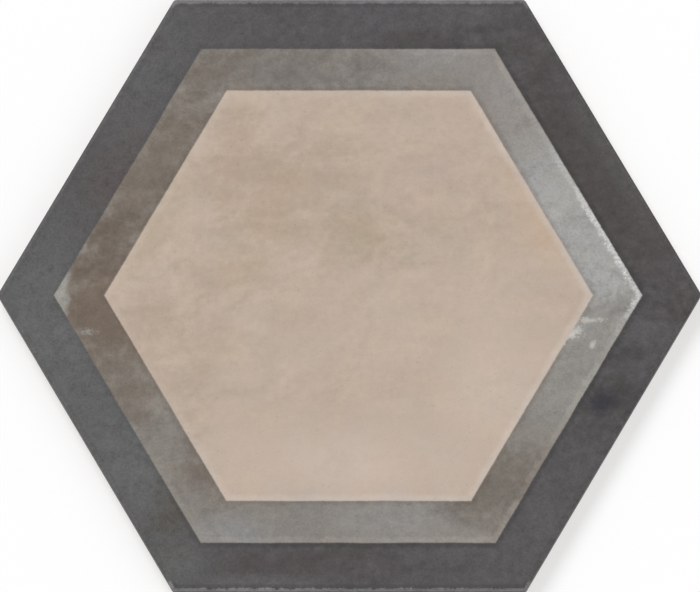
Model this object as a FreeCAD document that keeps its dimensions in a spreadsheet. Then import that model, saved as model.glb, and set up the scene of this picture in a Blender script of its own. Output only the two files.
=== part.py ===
"""Hexagon floor tile: one pressed and fired porcelain slab, face up, in millimetres.

The tile lies on the XY plane with its back ribs at Z = 0 and its face at the top. The origin is under the
middle of the tile. Two corners point along X, so two of its six sides run parallel to X.

The slab is pressed in one piece:
- the upper part of each edge wall, the land, stands upright and sets the joint to the next tile;
- below the land the wall leans inwards, so that joint mortar can fill in under the face;
- the rim of the face is rounded over, and the foot of the wall has a small chamfer;
- the back has a honeycomb of shallow keys for the bedding mortar, in rings round the middle, with ribs
  between them and a plain rim round the outside. The ribs and the rim are what the tile rests on.
"""

import FreeCAD, Part
import math
import os

import Sketcher
from FreeCAD import Placement, Rotation, Vector

SIDES = 6
CORNER_STEP = 360 / SIDES
# From a hexagon's side to half its width across flats.
FLAT_RATIO = math.cos(math.radians(CORNER_STEP / 2))

DOCUMENT_NAME = "hexagon_floor_tile"
TILE_NAME = "hexagon_tile"
SHEET_NAME = "sizes"

# The driving sizes: name, value, what it is. Lengths are in mm and angles in degrees.
DRIVING_SIZES = [
    ("side_length", 125.0, "one side of the hexagon, to its sharp corners"),
    ("thickness", 10.0, "from the back ribs to the face"),
    ("corner_radius", 1.5, "rounding of the six corners, seen from above"),
    ("land_height", 4.5, "upright upper part of the edge wall, rounding included"),
    ("back_inset", 0.8, "how far the back's outline stands in from the land's"),
    ("face_rounding", 1.0, "radius at the rim of the face"),
    ("foot_chamfer", 0.4, "chamfer at the foot of the edge wall"),
    ("key_width", 12.0, "mouth of one honeycomb key, across its flats"),
    ("rib_width", 3.0, "rib between two keys"),
    ("key_depth", 0.8, "depth of a key"),
    ("key_slope", 30.0, "lean of a key's walls from upright"),
    ("rim_width", 9.0, "least width of the plain rim outside the keys"),
]

# Expressions for sizes that follow from the driving ones.
LAND_FOOT_HEIGHT = "sizes.thickness - sizes.land_height"
INNER_RADIUS = "sizes.side_length * sqrt(3) / 2"
WALL_LEAN = f"atan(sizes.back_inset / ({LAND_FOOT_HEIGHT}))"

# A point of a line, arc or circle has as its number in the sketcher its place in this list.
SKETCH_POINTS = ["whole edge", "start", "end", "centre"]
SKETCH_ORIGIN = (-1, SKETCH_POINTS.index("start"))


def add_sizes(document):
    """Puts the driving sizes in a sheet, one row each, and returns the sheet."""
    sheet = document.addObject("Spreadsheet::Sheet", SHEET_NAME)
    for row, (name, value, meaning) in enumerate(DRIVING_SIZES, start=1):
        sheet.set(f"A{row}", name)
        sheet.set(f"B{row}", str(value))
        sheet.set(f"C{row}", meaning)
        sheet.setAlias(f"B{row}", name)
    document.recompute()
    return sheet


def direction_at(angle):
    """The level unit vector at an angle from X, in degrees."""
    return Vector(math.cos(math.radians(angle)), math.sin(math.radians(angle)), 0)


def bind_constraint(sketch, index, name, expression):
    """Names a sketch constraint and ties its value to the sheet."""
    sketch.renameConstraint(index, name)
    sketch.setExpression(f"Constraints.{name}", expression)


def draw_rounded_hexagon(sketch, sheet):
    """Draws the outline: six sides that touch an inner circle, joined by six equal corner arcs."""
    inner = sheet.side_length * FLAT_RATIO
    radius = sheet.corner_radius
    half_side = (inner - radius) * math.tan(math.radians(CORNER_STEP / 2))
    sides, arcs = [], []
    for n in range(SIDES):
        facing = CORNER_STEP * (n + 0.5)
        middle = direction_at(facing) * inner
        along = direction_at(facing + 90) * half_side
        sides.append(sketch.addGeometry(Part.LineSegment(middle - along, middle + along), False))
        corner = direction_at(facing + CORNER_STEP / 2)
        round_centre = corner * ((inner - radius) / FLAT_RATIO)
        circle = Part.Circle(round_centre, Vector(0, 0, 1), radius)
        sweep = math.radians(facing), math.radians(facing + CORNER_STEP)
        arcs.append(sketch.addGeometry(Part.ArcOfCircle(circle, *sweep), False))
    guide = sketch.addGeometry(Part.Circle(Vector(0, 0, 0), Vector(0, 0, 1), inner), True)

    start, end, centre = [SKETCH_POINTS.index(name) for name in ("start", "end", "centre")]
    sketch.addConstraint(Sketcher.Constraint("Coincident", guide, centre, *SKETCH_ORIGIN))
    for n in range(SIDES):
        following = sides[(n + 1) % SIDES]
        sketch.addConstraint(Sketcher.Constraint("Tangent", sides[n], end, arcs[n], start))
        sketch.addConstraint(Sketcher.Constraint("Tangent", arcs[n], end, following, start))
        sketch.addConstraint(Sketcher.Constraint("Tangent", sides[n], guide))
    for n in range(1, SIDES):
        sketch.addConstraint(Sketcher.Constraint("Equal", arcs[0], arcs[n]))
        turn = math.radians(CORNER_STEP)
        sketch.addConstraint(Sketcher.Constraint("Angle", sides[n - 1], sides[n], turn))
    level_side = sides[1]
    sketch.addConstraint(Sketcher.Constraint("Horizontal", level_side))
    rounding = sketch.addConstraint(Sketcher.Constraint("Radius", arcs[0], radius))
    bind_constraint(sketch, rounding, "corner_radius", "sizes.corner_radius")
    width = sketch.addConstraint(Sketcher.Constraint("Radius", guide, inner))
    bind_constraint(sketch, width, "inner_radius", INNER_RADIUS)


def rim_edges(shape, height):
    """Names of the edges that lie at a height, all the way round."""
    return [
        f"Edge{number}"
        for number, edge in enumerate(shape.Edges, start=1)
        if all(abs(vertex.Z - height) < 1e-6 for vertex in edge.Vertexes)
    ]


def make_slab(document, sheet):
    """The pressed slab without its keys: land, leaning wall, rounded face rim and chamfered foot."""
    body = document.addObject("PartDesign::Body", "slab")
    outline = body.newObject("Sketcher::SketchObject", "outline")
    base_plane = next(f for f in body.Origin.OriginFeatures if f.Role == "XY_Plane")
    outline.AttachmentSupport = [(base_plane, "")]
    outline.MapMode = "FlatFace"
    outline.setExpression("AttachmentOffset.Base.z", LAND_FOOT_HEIGHT)
    draw_rounded_hexagon(outline, sheet)

    land = body.newObject("PartDesign::Pad", "land")
    land.Profile = outline
    land.setExpression("Length", "sizes.land_height")

    wall = body.newObject("PartDesign::Pad", "leaning_wall")
    wall.Profile = outline
    wall.Reversed = True
    wall.setExpression("Length", LAND_FOOT_HEIGHT)
    wall.setExpression("TaperAngle", f"-{WALL_LEAN}")
    document.recompute()

    rounding = body.newObject("PartDesign::Fillet", "face_rounding")
    rounding.Base = (wall, rim_edges(wall.Shape, sheet.thickness))
    rounding.setExpression("Radius", "sizes.face_rounding")
    document.recompute()

    chamfer = body.newObject("PartDesign::Chamfer", "foot_chamfer")
    chamfer.Base = (rounding, rim_edges(rounding.Shape, 0.0))
    chamfer.setExpression("Size", "sizes.foot_chamfer")
    document.recompute()
    return body


def make_key(document):
    """One honeycomb key as a solid: a shallow hexagonal frustum, widest at the back's surface."""
    mouth = document.addObject("Part::RegularPolygon", "key_mouth")
    mouth.Polygon = SIDES
    mouth.setExpression("Circumradius", "sizes.key_width / sqrt(3)")
    mouth.Placement = Placement(Vector(0, 0, 0), Rotation(Vector(0, 0, 1), CORNER_STEP / 2))

    key = document.addObject("Part::Extrusion", "key")
    key.Base = mouth
    key.DirMode = "Custom"
    key.Dir = Vector(0, 0, 1)
    key.Solid = True
    key.setExpression("LengthFwd", "sizes.key_depth")
    key.setExpression("TaperAngle", "-sizes.key_slope")
    document.recompute()
    return key


def ring_count(sheet):
    """How many rings of keys fit round the middle one and leave the rim its width."""
    back_radius = sheet.side_length * FLAT_RATIO - sheet.back_inset - sheet.foot_chamfer
    corner_reach = sheet.key_width / 2 / FLAT_RATIO
    ring_step = (sheet.key_width + sheet.rib_width) * FLAT_RATIO
    return int((back_radius - sheet.rim_width - corner_reach) / ring_step)


def key_places(sheet):
    """The middle of every key: one under the tile's own, then rings parallel to the tile's sides."""
    pitch = sheet.key_width + sheet.rib_width
    places = [Vector(0, 0, 0)]
    for ring in range(1, ring_count(sheet) + 1):
        for side in range(SIDES):
            corner = direction_at(CORNER_STEP * side) * pitch * ring
            step = direction_at(CORNER_STEP * (side + 2)) * pitch
            places += [corner + step * n for n in range(ring)]
    return places


def make_honeycomb(document, sheet, key):
    """All the keys together, in one compound, as the die's back plate would press them."""
    honeycomb = document.addObject("Part::Feature", "honeycomb")
    honeycomb.Shape = Part.makeCompound([key.Shape.translated(place) for place in key_places(sheet)])
    return honeycomb


def make_tile(document, sheet):
    """The whole tile: the slab with the honeycomb cut out of its back."""
    slab = make_slab(document, sheet)
    honeycomb = make_honeycomb(document, sheet, make_key(document))
    tile = document.addObject("Part::Cut", TILE_NAME)
    tile.Label = TILE_NAME
    tile.Base = slab
    tile.Tool = honeycomb
    tile.Placement = Placement(Vector(0, 0, 0), Rotation())
    document.recompute()

    removed = slab.Shape.Volume - tile.Shape.Volume
    if abs(removed - honeycomb.Shape.Volume) > 0.001 * honeycomb.Shape.Volume:
        raise ValueError(f"the keys cut {removed:.0f} mm3, not {honeycomb.Shape.Volume:.0f} mm3")
    return tile


def check(document, sub_parts):
    """Stops if an object of the document failed, or a sub-part isn't one valid solid."""
    for item in document.Objects:
        if "Invalid" in item.State or "Error" in item.State:
            raise ValueError(f"{item.Label} failed: {item.State}")
    for sub_part in sub_parts:
        shape = sub_part.Shape
        if shape.isNull() or not shape.isValid() or len(shape.Solids) != 1:
            raise ValueError(f"{sub_part.Label} isn't one valid solid")


def main():
    document = FreeCAD.newDocument(DOCUMENT_NAME)
    sheet = add_sizes(document)
    sub_parts = [make_tile(document, sheet)]
    check(document, sub_parts)
    os.makedirs("parts", exist_ok=True)
    for sub_part in sub_parts:
        sub_part.Shape.exportStep(os.path.join("parts", f"{sub_part.Label}.step"))
        box = sub_part.Shape.BoundBox
        print(
            f"{sub_part.Label}: {box.XLength:.2f} x {box.YLength:.2f} x {box.ZLength:.2f} mm, "
            f"{sub_part.Shape.Volume / 1000:.1f} cm3, {len(key_places(sheet))} keys"
        )


main()
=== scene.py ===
"""Hexagon floor tile, dressed: the pressed slab, its printed matt face and its bare clay edges and back."""
import math

import bpy
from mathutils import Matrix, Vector


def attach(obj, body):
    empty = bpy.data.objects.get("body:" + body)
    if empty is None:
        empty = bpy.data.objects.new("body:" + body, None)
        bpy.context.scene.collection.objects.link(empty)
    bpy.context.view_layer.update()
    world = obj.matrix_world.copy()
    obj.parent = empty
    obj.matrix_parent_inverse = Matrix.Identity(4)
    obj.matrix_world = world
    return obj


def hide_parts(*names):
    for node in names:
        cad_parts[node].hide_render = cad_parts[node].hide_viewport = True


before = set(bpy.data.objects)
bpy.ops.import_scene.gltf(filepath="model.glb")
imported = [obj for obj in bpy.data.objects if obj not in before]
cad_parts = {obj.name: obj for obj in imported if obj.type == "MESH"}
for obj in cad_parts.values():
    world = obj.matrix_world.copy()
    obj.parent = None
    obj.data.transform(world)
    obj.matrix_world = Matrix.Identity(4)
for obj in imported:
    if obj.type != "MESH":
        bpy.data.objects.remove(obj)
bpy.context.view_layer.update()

NODE = "hexagon_tile"
MM = 0.001

# Sizes of the tile, in metres, as the solid has them.
SIDE = 125 * MM
THICKNESS = 10 * MM
CORNER_RADIUS = 1.5 * MM
LAND_HEIGHT = 4.5 * MM
BACK_INSET = 0.8 * MM
FACE_ROUNDING = 1.0 * MM
FOOT_CHAMFER = 0.4 * MM
KEY_WIDTH = 12 * MM
RIB_WIDTH = 3 * MM
KEY_DEPTH = 0.8 * MM
KEY_SLOPE = math.radians(30)
KEY_RINGS = 7
# What pressing and firing add to the solid: softened keys, and a face that isn't dead flat. Its wave is full
# from so many roundings in from the rim.
KEY_CORNER = 1.2 * MM
KEY_LIP = 0.22 * MM
FACE_WAVE = 0.05 * MM
FACE_WAVE_LENGTH = 22 * MM
FACE_WAVE_FULL = 8
# What lies nearer than this touches.
TOUCH = 0.01 * MM

SIDES = 6
SIDE_ANGLE = 360 / SIDES
# From a hexagon's side to half its width across flats.
FLAT_RATIO = math.cos(math.pi / SIDES)


# Building nodes

class Value:
    """A number that varies over a shape. Arithmetic on it adds Math nodes to its tree."""

    def __init__(self, recipe, socket):
        self.recipe = recipe
        self.socket = socket

    def __add__(self, other):
        return self.recipe.maths("ADD", self, other)

    def __radd__(self, other):
        return self.recipe.maths("ADD", other, self)

    def __sub__(self, other):
        return self.recipe.maths("SUBTRACT", self, other)

    def __rsub__(self, other):
        return self.recipe.maths("SUBTRACT", other, self)

    def __mul__(self, other):
        return self.recipe.maths("MULTIPLY", self, other)

    def __rmul__(self, other):
        return self.recipe.maths("MULTIPLY", other, self)

    def __truediv__(self, other):
        return self.recipe.maths("DIVIDE", self, other)

    def __rtruediv__(self, other):
        return self.recipe.maths("DIVIDE", other, self)

    def __neg__(self):
        return self.recipe.maths("MULTIPLY", self, -1)


class Recipe:
    """Adds nodes to one tree, and links them."""

    def __init__(self, tree):
        self.tree = tree
        tree.nodes.clear()

    def node(self, kind, settings=None, inputs=None):
        """Any node: its type, its settings, and the values or links of its sockets by name or number."""
        made = self.tree.nodes.new(kind)
        for name, value in (settings or {}).items():
            setattr(made, name, value)
        for key, value in (inputs or {}).items():
            self.feed(made.inputs[key], value)
        return made

    def feed(self, socket, value):
        """Gives a socket its link, its links or its number."""
        if isinstance(value, list):
            for each in value:
                self.feed(socket, each)
        elif isinstance(value, Value):
            self.tree.links.new(value.socket, socket)
        elif isinstance(value, bpy.types.Node):
            self.tree.links.new(value.outputs[0], socket)
        elif isinstance(value, bpy.types.NodeSocket):
            self.tree.links.new(value, socket)
        else:
            socket.default_value = value

    def maths(self, operation, *values):
        made = self.node("ShaderNodeMath", {"operation": operation}, dict(enumerate(values)))
        return Value(self, made.outputs[0])

    def largest(self, first, second):
        return self.maths("MAXIMUM", first, second)

    def size_of(self, value):
        return self.maths("ABSOLUTE", value)

    def hexagon_distance(self, x, y):
        """How far out a point is, measured square to the nearest side of a hexagon round the middle."""
        beside, above = self.size_of(x), self.size_of(y)
        return self.largest(above, beside * FLAT_RATIO + above * 0.5)

    def rise(self, value, low, high):
        """0 below low, 1 above high, and a smooth rise between them. It falls where low is the higher."""
        settings = {"interpolation_type": "SMOOTHSTEP"}
        made = self.node("ShaderNodeMapRange", settings, {0: value, 1: low, 2: high, 3: 0.0, 4: 1.0})
        return Value(self, made.outputs[0])

    def parts(self, vector):
        """The three numbers of a vector."""
        made = self.node("ShaderNodeSeparateXYZ", inputs={0: vector})
        return [Value(self, socket) for socket in made.outputs]

    def vector(self, x, y, z):
        return self.node("ShaderNodeCombineXYZ", inputs={0: x, 1: y, 2: z}).outputs[0]

    def vector_maths(self, operation, first, second):
        settings = {"operation": operation}
        return self.node("ShaderNodeVectorMath", settings, {0: first, 1: second}).outputs[0]

    def scaled(self, vector, factor):
        made = self.node("ShaderNodeVectorMath", {"operation": "SCALE"}, {0: vector, "Scale": factor})
        return made.outputs[0]

    def length(self, vector):
        made = self.node("ShaderNodeVectorMath", {"operation": "LENGTH"}, {0: vector})
        return Value(self, made.outputs["Value"])

    def noise(self, place, size, detail):
        """A noise node whose largest specks are about size across."""
        inputs = {"Vector": place, "Scale": 1 / size, "Detail": float(detail), "Roughness": 0.55}
        return self.node("ShaderNodeTexNoise", inputs=inputs)

    def speckle(self, place, size, detail):
        """Soft random specks, from about -0.3 to 0.3 round 0."""
        return Value(self, self.noise(place, size, detail).outputs[0]) - 0.5

    def blend(self, factor, first, second):
        """first where factor is 0 and second where it is 1, as colours."""
        made = self.node("ShaderNodeMix", {"data_type": "RGBA"}, {0: factor, 6: first, 7: second})
        return made.outputs[2]

    def brightened(self, colour, amount):
        """The colour made lighter by a share of itself, or darker where that is below 0."""
        if isinstance(colour, tuple):
            colour = self.node("ShaderNodeCombineXYZ", inputs=dict(enumerate(colour[:3]))).outputs[0]
        return self.scaled(colour, 1 + amount)

    def warmed(self, colour, amount):
        """The colour with a share more red and less blue, or the other way where the share is below 0."""
        return self.vector_maths("MULTIPLY", colour, self.vector(1 + amount, 1, 1 - amount))

    def oval(self, place, middle, reach, softness, waver):
        """1 inside an oval and 0 outside it. reach is its half length, half width and turn."""
        length, width, turn = reach
        inputs = {
            "Vector": place,
            "Location": (*middle, 0),
            "Rotation": (0, 0, math.radians(turn)),
            "Scale": (length, width, 1),
        }
        round_place = self.node("ShaderNodeMapping", {"vector_type": "TEXTURE"}, inputs)
        return self.rise(self.length(round_place) + waver, 1.0, 1.0 - softness)

    def stained(self, colour, place, waver, stains):
        """The colour with each stain laid over it in turn."""
        for _, middle, reach, softness, stain in stains:
            colour = self.blend(self.oval(place, middle, reach, softness, waver), colour, stain)
        return colour


# The slab's shape

TILE_INPUTS = {
    "Side": SIDE,
    "Thickness": THICKNESS,
    "Corner radius": CORNER_RADIUS,
    "Land height": LAND_HEIGHT,
    "Back inset": BACK_INSET,
    "Face rounding": FACE_ROUNDING,
    "Foot chamfer": FOOT_CHAMFER,
    "Key width": KEY_WIDTH,
    "Rib width": RIB_WIDTH,
    "Key depth": KEY_DEPTH,
    "Key corner": KEY_CORNER,
    "Key lip": KEY_LIP,
    "Face wave": FACE_WAVE,
}
SIDE_FACETS = 48
CORNER_FACETS = 6
ROUNDING_FACETS = 6
KEY_CORNER_FACETS = 2
FACE_DIVISIONS = 5
WELD = 0.002 * MM
SHARP_EDGE = math.radians(28)


def section(recipe, points):
    """An open curve through points, each given as (outwards, upwards), to sweep round an outline."""
    line = recipe.node("GeometryNodeCurvePrimitiveLine", {"mode": "POINTS"})
    evenly = recipe.node(
        "GeometryNodeResampleCurve", {"mode": "COUNT"}, {"Curve": line, "Count": len(points)}
    )
    places = recipe.node("GeometryNodeIndexSwitch", {"data_type": "VECTOR"})
    while len(places.index_switch_items) < len(points):
        places.index_switch_items.new()
    recipe.feed(places.inputs["Index"], recipe.node("GeometryNodeInputIndex"))
    for number, (outwards, upwards) in enumerate(points):
        # A sweep turns a section's X outwards and its Y downwards.
        recipe.feed(places.inputs[number + 1], recipe.vector(outwards, -upwards, 0))
    return recipe.node(
        "GeometryNodeSetPosition", inputs={"Geometry": evenly, "Position": places}
    )


def rounded_hexagon(recipe, radius, corner, corner_facets, turn=0.0):
    """A closed curve: a hexagon with rounded corners, counter-clockwise. radius is to its sharp corners."""
    sharp = recipe.node(
        "GeometryNodeCurvePrimitiveCircle", {"mode": "RADIUS"}, {"Resolution": SIDES, "Radius": radius}
    )
    turned = recipe.node(
        "GeometryNodeTransform", inputs={"Geometry": sharp, "Rotation": (0, 0, turn)}
    )
    return recipe.node(
        "GeometryNodeFilletCurve", {"mode": "POLY"},
        {"Curve": turned, "Count": corner_facets, "Radius": corner},
    )


def with_side_points(recipe, outline, corner_facets):
    """The outline with each long side divided, so that the swept wall and the face's strip have points all
    along it.
    """
    # Each corner has one point more than facets, and a long side begins at the last of them.
    index = Value(recipe, recipe.node("GeometryNodeInputIndex").outputs[0])
    place_in_corner = recipe.maths("MODULO", index, corner_facets + 1)
    tolerance = 0.1
    on_side = recipe.maths("COMPARE", place_in_corner, corner_facets, tolerance)
    return recipe.node(
        "GeometryNodeSubdivideCurve", inputs={"Curve": outline, "Cuts": on_side * (SIDE_FACETS - 1)}
    )


def moved_out(recipe, outline, distance):
    """The outline moved outwards by a distance, point by point, as a sweep moves it."""
    normal = recipe.node("GeometryNodeInputNormal")
    offset = recipe.scaled(normal.outputs[0], distance)
    return recipe.node("GeometryNodeSetPosition", inputs={"Geometry": outline, "Offset": offset})


def sweep(recipe, outline, profile):
    return recipe.node(
        "GeometryNodeCurveToMesh", inputs={"Curve": outline, "Profile Curve": profile}
    )


def joined(recipe, *shapes):
    """The shapes together, in the order given. A joining node takes its last link first."""
    return recipe.node("GeometryNodeJoinGeometry", inputs={"Geometry": list(reversed(shapes))})


def lifted(recipe, shape, height):
    place = recipe.vector(0, 0, height)
    return recipe.node("GeometryNodeTransform", inputs={"Geometry": shape, "Translation": place})


def filled(recipe, outlines, mode="TRIANGLES"):
    return recipe.node("GeometryNodeFillCurve", {"mode": mode}, {"Curve": outlines})


def flipped(recipe, shape):
    return recipe.node("GeometryNodeFlipFaces", inputs={"Mesh": shape})


def at_points(recipe, points, shape):
    """A copy of a shape at each point."""
    copies = recipe.node("GeometryNodeInstanceOnPoints", inputs={"Points": points, "Instance": shape})
    return recipe.node("GeometryNodeRealizeInstances", inputs={"Geometry": copies})


def edge_wall(recipe, size, outline):
    """The edge from the face's rim to the back's rim: rounding, land, leaning wall and foot chamfer."""
    rounding, lean_foot = size["Face rounding"], size["Foot chamfer"]
    lean_height = size["Thickness"] - size["Land height"]
    points = []
    for step in range(ROUNDING_FACETS + 1):
        angle = math.pi / 2 * (1 - step / ROUNDING_FACETS)
        points.append(
            (rounding * (math.cos(angle) - 1), size["Thickness"] + rounding * (math.sin(angle) - 1))
        )
    points.append((0.0, lean_height))
    points.append((size["Back inset"] * (lean_foot / lean_height - 1), lean_foot))
    points.append((-(size["Back inset"] + lean_foot), 0.0))
    return sweep(recipe, outline, section(recipe, points))


def face_sheet(recipe, size, outline):
    """The face inside its rounding: an even mesh of triangles, stitched to the outline."""
    rim = moved_out(recipe, outline, -size["Face rounding"])
    stitch = size["Side"] / (2.0 * SIDE_FACETS)
    radius = size["Side"] - (size["Face rounding"] + stitch) / FLAT_RATIO
    fan = recipe.node(
        "GeometryNodeMeshCircle", {"fill_type": "TRIANGLE_FAN"}, {"Vertices": SIDES, "Radius": radius}
    )
    sheet = recipe.node("GeometryNodeSubdivideMesh", inputs={"Mesh": fan, "Level": FACE_DIVISIONS})
    neighbours = recipe.node("GeometryNodeInputMeshEdgeNeighbors")
    open_edge = recipe.node(
        "FunctionNodeCompare", {"data_type": "INT", "operation": "EQUAL"}, {"A": neighbours, "B": 1}
    )
    sheet_edge = recipe.node("GeometryNodeMeshToCurve", inputs={"Mesh": sheet, "Selection": open_edge})
    strip = filled(recipe, joined(recipe, rim, sheet_edge))
    return lifted(recipe, joined(recipe, sheet, strip), size["Thickness"])


def key_centres(recipe, size):
    """Points in rings round the middle: a grid of ring numbers, cut to a hexagon and sheared."""
    across = 2 * KEY_RINGS
    grid = recipe.node(
        "GeometryNodeMeshGrid",
        inputs={"Size X": across, "Size Y": across, "Vertices X": across + 1, "Vertices Y": across + 1},
    )
    ring_x, ring_y, _ = recipe.parts(recipe.node("GeometryNodeInputPosition").outputs[0])
    outside = recipe.maths("GREATER_THAN", recipe.size_of(ring_x + ring_y), KEY_RINGS + 0.5)
    kept = recipe.node(
        "GeometryNodeDeleteGeometry", {"domain": "POINT"}, {"Geometry": grid, "Selection": outside}
    )
    pitch = size["Key width"] + size["Rib width"]
    place = recipe.vector(pitch * (ring_x + ring_y * 0.5), pitch * (ring_y * FLAT_RATIO), 0)
    return recipe.node("GeometryNodeSetPosition", inputs={"Geometry": kept, "Position": place})


def key_pocket(recipe, size, mouth):
    """One mortar key pressed into the back: a broken lip, sloping walls and a flat floor."""
    depth, lip = size["Key depth"], size["Key lip"]
    steep = math.pi / 2 - KEY_SLOPE
    lip_run, lip_depth = lip * math.sin(steep), lip * (1 - math.cos(steep))
    run = lip_run * 2 + (depth - lip_depth * 2) / math.tan(steep)
    points = [(0.0, 0.0), (-lip_run, lip_depth), (lip_run - run, depth - lip_depth), (-run, depth)]
    floor = lifted(recipe, filled(recipe, moved_out(recipe, mouth, -run), "NGONS"), depth)
    walls = sweep(recipe, mouth, section(recipe, points))
    return joined(recipe, walls, flipped(recipe, floor))


def back_with_keys(recipe, size, outline):
    """The back: a plain rim and ribs between mortar keys."""
    mouth_radius = size["Key width"] / (2 * FLAT_RATIO)
    mouth = rounded_hexagon(recipe, mouth_radius, size["Key corner"], KEY_CORNER_FACETS, math.pi / SIDES)
    centres = key_centres(recipe, size)
    mouths = at_points(recipe, centres, mouth)
    pockets = at_points(recipe, centres, key_pocket(recipe, size, mouth))
    rim = moved_out(recipe, outline, -(size["Back inset"] + size["Foot chamfer"]))
    plate = filled(recipe, joined(recipe, rim, mouths))
    return joined(recipe, flipped(recipe, plate), pockets)


def waved(recipe, size, shape):
    """The face sinks a little here and there, as fired clay does, but not at its rim."""
    place = recipe.node("GeometryNodeInputPosition").outputs[0]
    x, y, z = recipe.parts(place)
    to_rim = size["Side"] * FLAT_RATIO - recipe.hexagon_distance(x, y)
    inside = recipe.rise(to_rim, size["Face rounding"], size["Face rounding"] * FACE_WAVE_FULL)
    on_face = recipe.maths("GREATER_THAN", z, size["Thickness"] - TOUCH)
    swell = Value(recipe, recipe.noise(place, size=FACE_WAVE_LENGTH, detail=3).outputs[0])
    sink = swell * inside * on_face * size["Face wave"]
    offset = recipe.vector(0, 0, -sink)
    return recipe.node("GeometryNodeSetPosition", inputs={"Geometry": shape, "Offset": offset})


def tile_tree(printed, bare):
    """The geometry nodes that make the slab. Its inputs are the slab's sizes."""
    tree = bpy.data.node_groups.new("pressed hexagon tile", "GeometryNodeTree")
    recipe = Recipe(tree)
    for name, value in TILE_INPUTS.items():
        tree.interface.new_socket(name, in_out="INPUT", socket_type="NodeSocketFloat").default_value = value
    tree.interface.new_socket("Tile", in_out="OUTPUT", socket_type="NodeSocketGeometry")
    given = recipe.node("NodeGroupInput")
    size = {name: Value(recipe, given.outputs[name]) for name in TILE_INPUTS}

    # A hexagon's sharp corners are as far from its middle as its sides are long.
    rounded = rounded_hexagon(recipe, size["Side"], size["Corner radius"], CORNER_FACETS)
    outline = with_side_points(recipe, rounded, CORNER_FACETS)
    whole = joined(
        recipe,
        edge_wall(recipe, size, outline),
        face_sheet(recipe, size, outline),
        back_with_keys(recipe, size, outline),
    )
    welded = recipe.node("GeometryNodeMergeByDistance", inputs={"Geometry": whole, "Distance": WELD})
    real = recipe.node("GeometryNodeRealizeInstances", inputs={"Geometry": waved(recipe, size, welded)})
    covered = recipe.node("GeometryNodeSetMaterial", inputs={"Geometry": real, "Material": printed})
    _, _, z = recipe.parts(recipe.node("GeometryNodeInputPosition").outputs[0])
    below_land = recipe.maths("LESS_THAN", z, size["Thickness"] - size["Land height"])
    finished = recipe.node(
        "GeometryNodeSetMaterial", inputs={"Geometry": covered, "Selection": below_land, "Material": bare}
    )
    recipe.node("NodeGroupOutput", inputs={"Tile": finished})
    return tree


def plain_mesh(name, tree, values):
    """Runs a geometry tree on an empty object and keeps the result as a plain mesh."""
    piece = bpy.data.objects.new(name, bpy.data.meshes.new(name))
    bpy.context.scene.collection.objects.link(piece)
    nodes = piece.modifiers.new("shape", "NODES")
    nodes.node_group = tree
    for item in tree.interface.items_tree:
        if item.in_out == "INPUT":
            nodes[item.identifier] = values[item.name]
    evaluated = piece.evaluated_get(bpy.context.evaluated_depsgraph_get())
    made = bpy.data.meshes.new_from_object(evaluated)
    piece.modifiers.remove(nodes)
    piece.data = made
    made.name = name
    # The empty object's own slot comes before the two that the tree sets.
    while made.materials and made.materials[0] is None:
        made.materials.pop(index=0)
    made.shade_smooth()
    made.set_sharp_from_angle(angle=SHARP_EDGE)
    return piece


# The map that the finish is baked through

# The name that the bake map is given.
BAKE_MAP = "OFBake"
# Scales are in map widths for each metre, and corners are where each part's box begins.
FACE_MAP_SCALE, FACE_MAP_CORNER = 3.44, (0.005, 0.25)
BACK_MAP_SCALE, BACK_MAP_CORNER = 1.085, (0.005, 0.005)
WALL_MAP_SCALE, WALL_MAP_CORNER, WALL_MAP_STEP = 3.1, (0.29, 0.008), 0.0398


def hexagon_distance(x, y):
    """How far out a point is, measured square to the nearest side, as a number."""
    return max(abs(y), abs(x) * FLAT_RATIO + abs(y) * 0.5)


def laid_flat(place, corner, scale):
    """Where a point of the face or the back goes on the map, seen square on."""
    return corner[0] + (place.x + SIDE) * scale, corner[1] + (place.y + SIDE * FLAT_RATIO) * scale


def unrolled(place, side):
    """Where a point of the edge wall goes: along its side, and down from the face."""
    facing = math.pi / SIDES * (2 * side + 1)
    along = place.y * math.cos(facing) - place.x * math.sin(facing)
    inwards = SIDE * FLAT_RATIO - hexagon_distance(place.x, place.y)
    # On the face's rounding the way in leads up, and below the land it leads down.
    rounded = place.z > THICKNESS - FACE_ROUNDING
    down = THICKNESS - place.z + (-inwards if rounded else inwards)
    left, bottom = WALL_MAP_CORNER
    return (
        left + (along + SIDE / 2) * WALL_MAP_SCALE,
        bottom + side * WALL_MAP_STEP + (down + FACE_ROUNDING) * WALL_MAP_SCALE,
    )


def lay_out_bake_map(mesh):
    """Gives the face most of the bake's map, then the six edge walls, and the plain back what is left."""
    uv = mesh.uv_layers.new(name=BAKE_MAP).uv
    face_edge = SIDE * FLAT_RATIO - FACE_ROUNDING - TOUCH
    for polygon in mesh.polygons:
        centre = polygon.center
        outer = hexagon_distance(centre.x, centre.y)
        on_face = polygon.normal.z > 0 and outer < face_edge
        on_back = not on_face and outer < SIDE * FLAT_RATIO - BACK_INSET - FOOT_CHAMFER
        side = int(math.degrees(math.atan2(centre.y, centre.x)) % 360 // SIDE_ANGLE)
        for loop in polygon.loop_indices:
            place = mesh.vertices[mesh.loops[loop].vertex_index].co
            if on_face:
                uv[loop].vector = laid_flat(place, FACE_MAP_CORNER, FACE_MAP_SCALE)
            elif on_back:
                uv[loop].vector = laid_flat(place, BACK_MAP_CORNER, BACK_MAP_SCALE)
            else:
                uv[loop].vector = unrolled(place, side)


# Finishes

# How much the matt surface mirrors: the shader's number for it, and the share of white that it adds in even
# light. Its own colour is that much darker than it looks.
SPECULAR, SHEEN = 0.3, 0.024
RELIEF_STRENGTH, RELIEF_DEPTH = 0.5, 0.03 * MM


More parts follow.
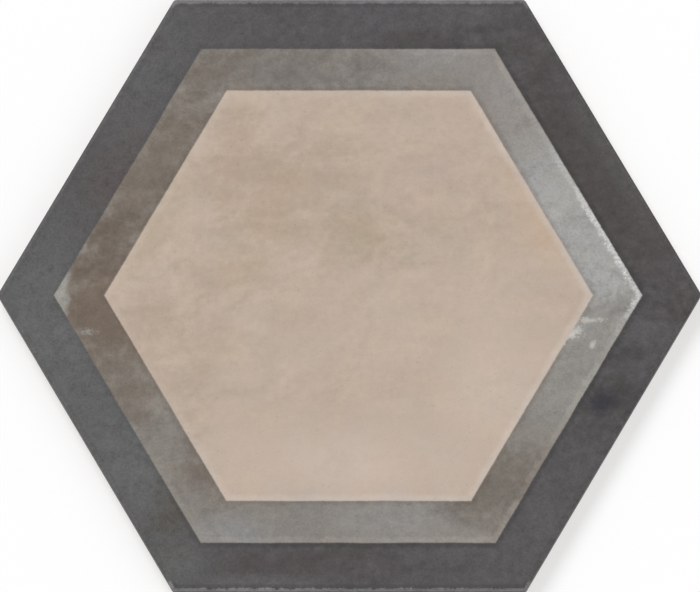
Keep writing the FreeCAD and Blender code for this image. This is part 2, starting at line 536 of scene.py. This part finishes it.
def tone(red, green, blue):
    """A colour as the renderer takes it, from how it looks on the screen in even white light, 0 to 255."""
    def light(value):
        value = value / 255
        linear = value / 12.92 if value <= 0.04045 else ((value + 0.055) / 1.055) ** 2.4
        return linear - SHEEN
    return light(red), light(green), light(blue), 1.0


# The print: three hexagons, one inside the other. Half widths across flats, shifts and the blur of the edges
# are in mm. The rim's shift is only for what lies along it, a little nearer to the edge at the foot.
MIDDLE_RADIUS, MIDDLE_SHIFT = 75.2, (-0.3, -0.6)
BAND_RADIUS, BAND_SHIFT = 90.5, (-0.5, -0.6)
RIM_RADIUS, RIM_SHIFT = SIDE * FLAT_RATIO / MM, (0, -0.5)
PRINT_BLUR = 0.32

# Lines along the hexagons: how far past a side each begins and where it is full, in mm, and how strong it is
# where it is faintest and where it is strongest.
BLEACHED_LINE = -3.2, -1.0, 0.1, 0.27
PALE_LINE = -2.8, -1.4, 0.04, 0.17
BLEED_LINE = 2.6, 0.8, 0.1, 0.36
# Pooled ink darkens a line on both sides of its middle.
POOLED_MIDDLE, POOLED_LINE = -1.8, (1.0, 0.35, 0.08, 0.2)
# Lines of one strength, and the rim's wear and painted highlight, which ends between two heights. It has a
# share of wear on all sides, a further one of wear and painted highlight on the level sides, and one more at
# the foot, which is a painted highlight over the rounding's shade.
UMBER_LINE, UMBER_SHARE = (2.4, 0.4), 0.27
WORN_LINE, WORN_SHARE = (-2.4, -1.1), 0.45
RIM_WEAR_AND_HIGHLIGHT_LINE, RIM_WEAR_AND_HIGHLIGHT_HEIGHTS = (-1.35, -0.75), (7.5, 8.3)
RIM_WEAR, LEVEL_WEAR_AND_HIGHLIGHT, FOOT_PAINTED_HIGHLIGHT = 0.12, 0.84, 0.78
# Where lines grow from faint to strong, going right and down, and where the level sides are, going up or down
# from the middle, in mm.
STRONG_SIDE, LEVEL_SIDE = (-50, 20), (104.5, 106)

# How much the clouds, mottle, fine specks, grain and sand lighten and darken each zone.
MIDDLE_TEXTURE = 0.16, 0.24, 0.19, 0.08, 0.13
BAND_TEXTURE = 0.28, 0.48, 0.52, 0.42, 0.32
BORDER_TEXTURE = 0.30, 0.60, 0.84, 0.78, 0.50

# The glaze fades out between these heights on the land, in mm.
GLAZE_END = 6.2, 6.5

# The plain colours of the print, its wear and the clay.
BEIGE = tone(190, 173, 158)
BAND_GREY = tone(134, 129, 123)
CHARCOAL = tone(86, 84, 85)
WORN_WHITE = tone(222, 221, 219)
BLEACHED = tone(214, 206, 200)
UMBER = tone(102, 90, 80)
CLAY = tone(172, 160, 145)
RELEASE_WASH = tone(208, 203, 194)

# Stains in the print: where the middle is, in mm from the tile's; half length, half width and turn; how
# softly it ends; and its colour. A later one lies over the ones before it.
BEIGE_STAINS = [
    ("dull upper half", (-8, 34), (84, 42, 0), 1.0, tone(184, 167, 151)),
    ("rose strip", (-41, 48), (40, 15, 85), 1.0, tone(180, 161, 145)),
    ("brown cloud", (-24, 38), (34, 20, 15), 1.0, tone(180, 161, 144)),
    ("brown shade", (-42, 9), (28, 18, 20), 1.0, tone(182, 164, 147)),
    ("mauve shade", (22, 42), (26, 18, 20), 1.0, tone(187, 169, 156)),
    ("moss spot", (5, 23), (21, 15, -30), 1.0, tone(176, 160, 142)),
    ("dusky lower left", (-53, -25), (26, 18, 60), 1.0, tone(183, 166, 150)),
    ("tan left corner", (-70, -7), (22, 19, 90), 1.0, tone(182, 164, 148)),
    ("pale foot", (0, -62), (66, 22, 0), 1.0, tone(198, 182, 169)),
    ("pale lower right", (50, -36), (38, 28, 60), 1.0, tone(197, 181, 167)),
    ("warm right edge", (67, 24), (30, 9, 120), 1.0, tone(194, 173, 154)),
    ("moss left edge", (-69, 24), (36, 10, 60), 1.0, tone(184, 167, 149)),
    ("brown lower left edge", (-66, -34), (36, 9, 120), 1.0, tone(183, 166, 151)),
]
BAND_STAINS = [
    ("pale blue-grey stretch", (85, 17), (68, 28, 120), 0.65, tone(164, 163, 161)),
    ("grey shoulder", (57, 70), (34, 16, 120), 1.0, tone(147, 142, 138)),
    ("grey top", (30, 87), (26, 10, 0), 1.0, tone(143, 140, 138)),
    ("olive top", (-26, 83), (52, 15, 0), 0.9, tone(121, 116, 111)),
    ("umber upper left", (-71, 44), (66, 30, 60), 0.9, tone(120, 111, 102)),
    ("umber left corner", (-88, -6), (40, 26, 100), 0.8, tone(116, 104, 94)),
    ("brown cloud above it", (-87, 18), (18, 12, 60), 1.0, tone(107, 97, 89)),
    ("umber lower left", (-79, -35), (22, 16, 120), 1.0, tone(120, 112, 103)),
    ("umber by the foot", (-50, -63), (20, 15, 120), 1.0, tone(121, 112, 104)),
    ("grey foot", (12, -83), (38, 13, 0), 0.9, tone(143, 139, 135)),
    ("grey foot's left end", (-42, -87), (24, 9, 0), 1.0, tone(140, 138, 137)),
    ("olive lower right", (53, -71), (29, 17, 40), 0.8, tone(119, 112, 105)),
    ("pale lower right", (82, -23), (38, 17, 60), 0.6, tone(144, 141, 136)),
    ("pale left tip", (-104.5, 2.2), (13.5, 6, 90), 0.45, tone(154, 151, 145)),
]
# Small scuffs on the band: a dash below the left corner, and rubbed marks below the right one. Its outer
# line is worn white above the right corner.
BAND_SCUFFS = [
    ("dash", (-92.8, -13.9), (4.8, 2.0, 4), 0.9, tone(152, 149, 144)),
    ("pale haze", (78.6, -14.0), (9.5, 5.0, 25), 1.0, tone(168, 166, 163)),
    ("strip", (85.6, -9.8), (5.6, 1.7, 6), 0.9, tone(190, 187, 182)),
    ("smear", (78.8, -15.0), (7.4, 2.6, 22), 0.9, tone(196, 194, 190)),
    ("smear's foot", (75.8, -18.4), (2.6, 1.6, 60), 0.9, tone(186, 183, 178)),
    ("dull patch", (85.6, -13.2), (3.6, 1.8, 10), 0.9, tone(138, 139, 139)),
    ("fleck", (86.4, -18.8), (2.3, 1.5, 60), 0.9, tone(186, 184, 180)),
]
WORN_STRETCH = (94, 16), (42, 17, 120), 0.8
BORDER_STAINS = [
    ("warm right", (90, 46), (92, 40, 120), 0.7, tone(79, 75, 75)),
    ("ashen outer strip", (92, 53), (56, 6, 120), 0.9, tone(87, 84, 84)),
    ("brown inner strip", (85, 43), (60, 6, 120), 0.9, tone(77, 73, 72)),
    ("cool left", (-106, -16), (70, 44, 90), 0.8, tone(98, 98, 98)),
    ("cool lower left", (-78, -62), (50, 30, 120), 0.9, tone(99, 99, 99)),
    ("cool upper left", (-70, 84), (48, 22, 60), 1.0, tone(94, 93, 93)),
    ("warm upper left", (-84, 42), (34, 15, 60), 1.0, tone(91, 86, 85)),
    ("warm foot", (-20, -98), (54, 13, 0), 1.0, tone(82, 77, 77)),
    ("ashen foot", (-32, -106), (34, 5, 0), 0.9, tone(94, 92, 92)),
    ("umber lower left corner", (-62, -78), (16, 12, 60), 1.0, tone(88, 85, 80)),
    ("ashen lower left corner", (-63, -99), (20, 13, 0), 1.0, tone(96, 96, 95)),
    ("dark top", (24, 94), (26, 6, 0), 1.0, tone(79, 75, 75)),
    ("shade by the spot", (92, -38), (28, 17, 60), 1.0, tone(72, 69, 69)),
    ("dark spot", (90, -40), (9, 6, 60), 1.0, tone(57, 57, 62)),
    ("dark dash", (46, 97), (9, 2.2, -4), 0.8, tone(76, 73, 74)),
]


class Print:
    """The face's print: beige middle, grey band and charcoal border, each clouded and stained."""

    def __init__(self, recipe, place, sand):
        x, y, z = recipe.parts(place)
        self.recipe = recipe
        self.x, self.y, self.z = x, y, z
        self.flat = recipe.vector(x, y, 0)
        # Textures are read at different heights, so that no two have the same pattern. The mottle is drawn
        # out slantwise and curls, as a trowel leaves it.
        curl = recipe.speckle(recipe.vector(x, y, 40), size=30, detail=1)
        trowelled = recipe.vector(x * 0.6 + y * 0.3 + curl * 30, y * 1.3 - x * 0.4 - curl * 24, z - 7)
        self.mottle = recipe.speckle(trowelled, size=9, detail=4)
        self.fine = recipe.speckle(recipe.vector(x, y, z - 1), size=2.6, detail=3)
        self.grain = recipe.speckle(recipe.vector(x, y, z + 7), size=0.8, detail=2)
        self.hue = recipe.speckle(recipe.vector(x, y, 60), size=14, detail=3)
        clouds = recipe.speckle(self.flat, size=34, detail=4)
        self.textures = [clouds, self.mottle, self.fine, self.grain, sand]
        # The outlines of the stains waver, and those of the three hexagons are a little ragged.
        self.waver = self.mottle * 1.1 + self.fine * 0.5
        wandering = recipe.speckle(self.flat, size=17, detail=2)
        self.ragged = recipe.speckle(self.flat, size=1.3, detail=2) * 0.35 + wandering * 0.5
        self.past_middle = self.past(MIDDLE_RADIUS, MIDDLE_SHIFT)
        self.past_band = self.past(BAND_RADIUS, BAND_SHIFT)
        self.past_rim = self.past(RIM_RADIUS, RIM_SHIFT)
        # Most lines are strongest on the right and at the foot, and faint on the upper left.
        self.strong_side = recipe.rise(x * 0.8 - y * 0.4, *STRONG_SIDE)
        self.level_side = recipe.rise(recipe.size_of(y), *LEVEL_SIDE)
        self.foot_side = recipe.rise(-y, *LEVEL_SIDE)

    def past(self, radius, shift):
        """How far a point is past a hexagon's side, less than 0 inside."""
        distance = self.recipe.hexagon_distance(self.x - shift[0], self.y - shift[1])
        return distance + self.ragged - radius

    def line(self, past, shape, strongest):
        """How strong a line along a hexagon is. strongest is 1 on the sides where it is at its strongest."""
        begin, full, least, most = shape
        return self.recipe.rise(past, begin, full) * (strongest * (most - least) + least)

    def ground(self, colour, stains):
        """A zone's plain colour with its stains."""
        return self.recipe.stained(colour, self.flat, self.waver, stains)

    def textured(self, colour, shares):
        """The colour with each texture in its share."""
        amounts = [texture * share for texture, share in zip(self.textures, shares)]
        return self.recipe.brightened(colour, sum(amounts[1:], amounts[0]))

    def middle(self):
        """Beige, bleached along its outline."""
        bleached = self.line(self.past_middle + self.fine, BLEACHED_LINE, self.strong_side)
        colour = self.recipe.blend(bleached, self.ground(BEIGE, BEIGE_STAINS), BLEACHED)
        return self.textured(colour, MIDDLE_TEXTURE)

    def band(self):
        """Grey, umber along the middle and pale along the border, with white wear and scuffs."""
        recipe = self.recipe
        umber = recipe.rise(self.past_middle + self.fine * 2.4, *UMBER_LINE) * UMBER_SHARE
        colour = recipe.blend(umber, self.ground(BAND_GREY, BAND_STAINS), UMBER)
        pale = self.line(self.past_band + self.fine, PALE_LINE, self.strong_side)
        colour = recipe.brightened(colour, pale)
        worn = recipe.rise(self.past_band + self.fine * 3.4 + self.grain * 2.2, *WORN_LINE)
        worn = worn * recipe.oval(self.flat, *WORN_STRETCH, self.waver) * (self.grain * 1.6 + WORN_SHARE)
        colour = recipe.blend(worn, colour, WORN_WHITE)
        colour = recipe.stained(colour, self.flat, self.fine * 2.2 + self.grain * 1.6, BAND_SCUFFS)
        return self.textured(colour, BAND_TEXTURE)

    def border(self):
        """Charcoal, darker along the band. Ink has pooled inside the rim, and its level sides are worn and
        painted lighter as a highlight.
        """
        recipe = self.recipe
        bleed = self.line(self.past_band + self.fine, BLEED_LINE, self.strong_side)
        colour = recipe.brightened(self.ground(CHARCOAL, BORDER_STAINS), -bleed)
        # The rim's rounding is lightened: worn ink, and a painted highlight on the level sides, strongest at
        # the foot.
        worn = recipe.rise(self.past_rim + self.fine * 1.3 + self.grain * 0.7, *RIM_WEAR_AND_HIGHLIGHT_LINE)
        worn = worn * recipe.rise(self.z + self.fine, *RIM_WEAR_AND_HIGHLIGHT_HEIGHTS)
        rim_wear_and_highlight = self.level_side * LEVEL_WEAR_AND_HIGHLIGHT + self.foot_side * FOOT_PAINTED_HIGHLIGHT + RIM_WEAR
        colour = recipe.brightened(colour, worn * rim_wear_and_highlight)
        from_pooled = recipe.size_of(self.past_rim + self.fine * 0.7 - POOLED_MIDDLE)
        pooled = self.line(from_pooled, POOLED_LINE, self.level_side)
        return self.textured(recipe.brightened(colour, -pooled), BORDER_TEXTURE)

    def colour(self):
        """The three zones together, here and there a little warmer or cooler."""
        recipe = self.recipe
        in_middle = recipe.rise(self.past_middle, PRINT_BLUR, -PRINT_BLUR)
        in_band = recipe.rise(self.past_band, PRINT_BLUR, -PRINT_BLUR)
        outside_middle = recipe.blend(in_band, self.border(), self.band())
        return recipe.warmed(recipe.blend(in_middle, outside_middle, self.middle()), self.hue * 0.08)


def clay_colour(recipe, place):
    """The bare body: pale warm clay with fine dark and light grains, and faint upright marks of the die."""
    x, y, z = recipe.parts(place)
    broad = recipe.speckle(place, size=26, detail=3)
    fine = recipe.speckle(place, size=1.4, detail=3)
    sand = recipe.speckle(place, size=0.4, detail=2)
    die_marks = recipe.speckle(recipe.vector(x, y, z * 0.06), size=1.1, detail=2)
    specks = recipe.rise(recipe.speckle(place, size=1.2, detail=1), 0.17, 0.24)
    clay = recipe.brightened(CLAY, broad * 0.24 + fine * 0.22 + sand * 0.26 + die_marks * 0.16)
    return recipe.brightened(clay, specks * -0.3)


def finish_material(material, finish_of):
    """A fired matt surface. Its colour, roughness and relief come from a function."""
    material.use_nodes = True
    recipe = Recipe(material.node_tree)
    coordinates = recipe.node("ShaderNodeTexCoord")
    place = recipe.scaled(coordinates.outputs["Object"], 1 / MM)
    colour, roughness, relief = finish_of(recipe, place)
    bump = recipe.node(
        "ShaderNodeBump",
        inputs={"Strength": RELIEF_STRENGTH, "Distance": RELIEF_DEPTH, "Height": relief},
    )
    surface = recipe.node(
        "ShaderNodeBsdfPrincipled",
        inputs={
            "Base Color": colour,
            "Roughness": roughness,
            "Specular IOR Level": SPECULAR,
            "Normal": bump,
        },
    )
    recipe.node("ShaderNodeOutputMaterial", inputs={"Surface": surface})


def face_finish(recipe, place):
    """Matt printed glaze, which laps over the rim and ends raggedly low on the land."""
    _, _, z = recipe.parts(place)
    lapping = recipe.speckle(place, size=11, detail=3)
    ragged = lapping * 1.5 + recipe.speckle(place, size=1.5, detail=3) * 0.8
    glazed = recipe.rise(z + ragged, *GLAZE_END)
    sand = recipe.speckle(place, size=0.34, detail=2)
    swell = recipe.speckle(place, size=1.7, detail=3)
    pinholes = recipe.rise(recipe.speckle(place, size=0.8, detail=1), 0.21, 0.28)
    inked = recipe.brightened(Print(recipe, place, sand).colour(), pinholes * -0.2)
    colour = recipe.blend(glazed, clay_colour(recipe, place), inked)
    roughness = 0.74 - glazed * 0.14 + swell * 0.16 + sand * 0.12
    return colour, roughness, swell * 1.6 + sand * 1.0 - pinholes * 1.5 + glazed * 1.5


def clay_finish(recipe, place):
    """Bare clay, with a pale release wash in streaks on what ran over the kiln's rollers."""
    x, y, z = recipe.parts(place)
    drawn_out = recipe.speckle(recipe.vector(x * 0.22, y, 5), size=4.5, detail=4)
    streaks = drawn_out + recipe.speckle(place, size=1.3, detail=2) * 0.5
    wash = recipe.rise(z, 0.12, 0.0) * recipe.rise(streaks, -0.2, 0.16)
    colour = recipe.blend(wash * 0.7, clay_colour(recipe, place), RELEASE_WASH)
    sand = recipe.speckle(place, size=0.5, detail=3)
    swell = recipe.speckle(place, size=2.4, detail=3)
    return colour, 0.8 + sand * 0.12, sand * 2.0 + swell * 1.5


printed = bpy.data.materials.new("printed face")
bare = bpy.data.materials.new("bare clay")
finish_material(printed, face_finish)
finish_material(bare, clay_finish)

tile = plain_mesh("tile_slab", tile_tree(printed, bare), TILE_INPUTS)
lay_out_bake_map(tile.data)
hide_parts(NODE)
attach(tile, "root")


# The studio

# Shares of the light that a level white surface gets. Together they make almost 1.
WORLD_SHARE, KEY_SHARE, FILL_SHARE = 0.415, 0.415, 0.16
FLOOR_GLOW = 0.5
FLOOR_REACH = 60.0
WHITE = 1, 1, 1, 1
# What the floor throws back on the tile, a little less than white.
PALE_CARD = 0.8, 0.8, 0.8, 1


def white_where_seen(recipe, unseen, seen):
    """Picks the seen shader for camera, mirror and glass rays, and the unseen one for the rest."""
    path = recipe.node("ShaderNodeLightPath")
    rays = [Value(recipe, path.outputs[f"Is {ray} Ray"]) for ray in ("Camera", "Glossy", "Transmission")]
    shown = recipe.largest(recipe.largest(rays[0], rays[1]), rays[2])
    return recipe.node("ShaderNodeMixShader", inputs={0: shown, 1: unseen, 2: seen})


def make_floor():
    """A wide white floor. Half of what the camera sees of it is its own white, so the shadow is soft."""
    mesh = bpy.data.meshes.new("floor")
    corners = [(-1, -1), (1, -1), (1, 1), (-1, 1)]
    points = [(FLOOR_REACH * x, FLOOR_REACH * y, -TOUCH) for x, y in corners]
    mesh.from_pydata(points, [], [(0, 1, 2, 3)])
    floor = bpy.data.objects.new("floor", mesh)
    bpy.context.scene.collection.objects.link(floor)
    material = bpy.data.materials.new("white floor")
    material.use_nodes = True
    recipe = Recipe(material.node_tree)
    card = recipe.node("ShaderNodeBsdfDiffuse", inputs={"Color": PALE_CARD})
    white = recipe.node("ShaderNodeEmission", inputs={"Strength": 1.0})
    bright_card = recipe.node("ShaderNodeBsdfDiffuse", inputs={"Color": WHITE})
    seen = recipe.node("ShaderNodeMixShader", inputs={0: FLOOR_GLOW, 1: bright_card, 2: white})
    surface = white_where_seen(recipe, card, seen)
    recipe.node("ShaderNodeOutputMaterial", inputs={"Surface": surface})
    mesh.materials.append(material)


def make_world():
    world = bpy.data.worlds.new("studio")
    world.use_nodes = True
    recipe = Recipe(world.node_tree)
    light = recipe.node("ShaderNodeBackground", inputs={"Color": WHITE, "Strength": WORLD_SHARE})
    white = recipe.node("ShaderNodeBackground", inputs={"Color": WHITE, "Strength": 1.0})
    recipe.node("ShaderNodeOutputWorld", inputs={"Surface": white_where_seen(recipe, light, white)})
    bpy.context.scene.world = world


def make_lamp(name, share, azimuth, elevation, spread):
    """A soft far lamp that gives a level surface its share of the light."""
    lamp = bpy.data.lights.new(name, "SUN")
    lamp.energy = share * math.pi / math.sin(math.radians(elevation))
    lamp.angle = math.radians(spread)
    thing = bpy.data.objects.new(name, lamp)
    turn, tip = math.radians(azimuth), math.radians(elevation)
    towards = Vector((math.cos(turn) * math.cos(tip), math.sin(turn) * math.cos(tip), math.sin(tip)))
    thing.rotation_mode = "QUATERNION"
    thing.rotation_quaternion = towards.to_track_quat("Z", "Y")
    bpy.context.scene.collection.objects.link(thing)


# The photograph is square on, but squashed: its hexagon is this share of a regular one's height. A regular
# tile looks so from a camera that far off the upright.
SQUASH = 0.9695
FRAME_PIXELS = 700, 592
TILE_PIXELS = 703.5
TILE_MIDDLE_PIXEL = 349.5, 293.6
LENS = 1200.0
FILM = 36.0


def make_camera():
    """A very long lens over the tile, so that its sides stay as parallel as in the photograph."""
    data = bpy.data.cameras.new("camera")
    data.lens, data.sensor_width = LENS, FILM
    pixel = 2 * SIDE / TILE_PIXELS
    distance = pixel * FRAME_PIXELS[0] * LENS / FILM
    tilt = math.acos(SQUASH)
    aside, above = [size / 2 - middle for size, middle in zip(FRAME_PIXELS, TILE_MIDDLE_PIXEL)]
    aim = Vector((aside * pixel, -above * pixel / SQUASH, THICKNESS))
    back = Vector((0, -math.sin(tilt), math.cos(tilt)))
    camera = bpy.data.objects.new("camera", data)
    camera.location = aim + back * distance
    camera.rotation_mode = "QUATERNION"
    camera.rotation_quaternion = back.to_track_quat("Z", "Y")
    data.clip_start, data.clip_end = distance * 0.5, distance * 2
    bpy.context.scene.collection.objects.link(camera)
    bpy.context.scene.camera = camera


make_floor()
make_world()
make_lamp("key", KEY_SHARE, azimuth=125, elevation=55, spread=30)
make_lamp("fill", FILL_SHARE, azimuth=-40, elevation=48, spread=60)
make_camera()
bpy.context.scene.view_settings.view_transform = "Standard"
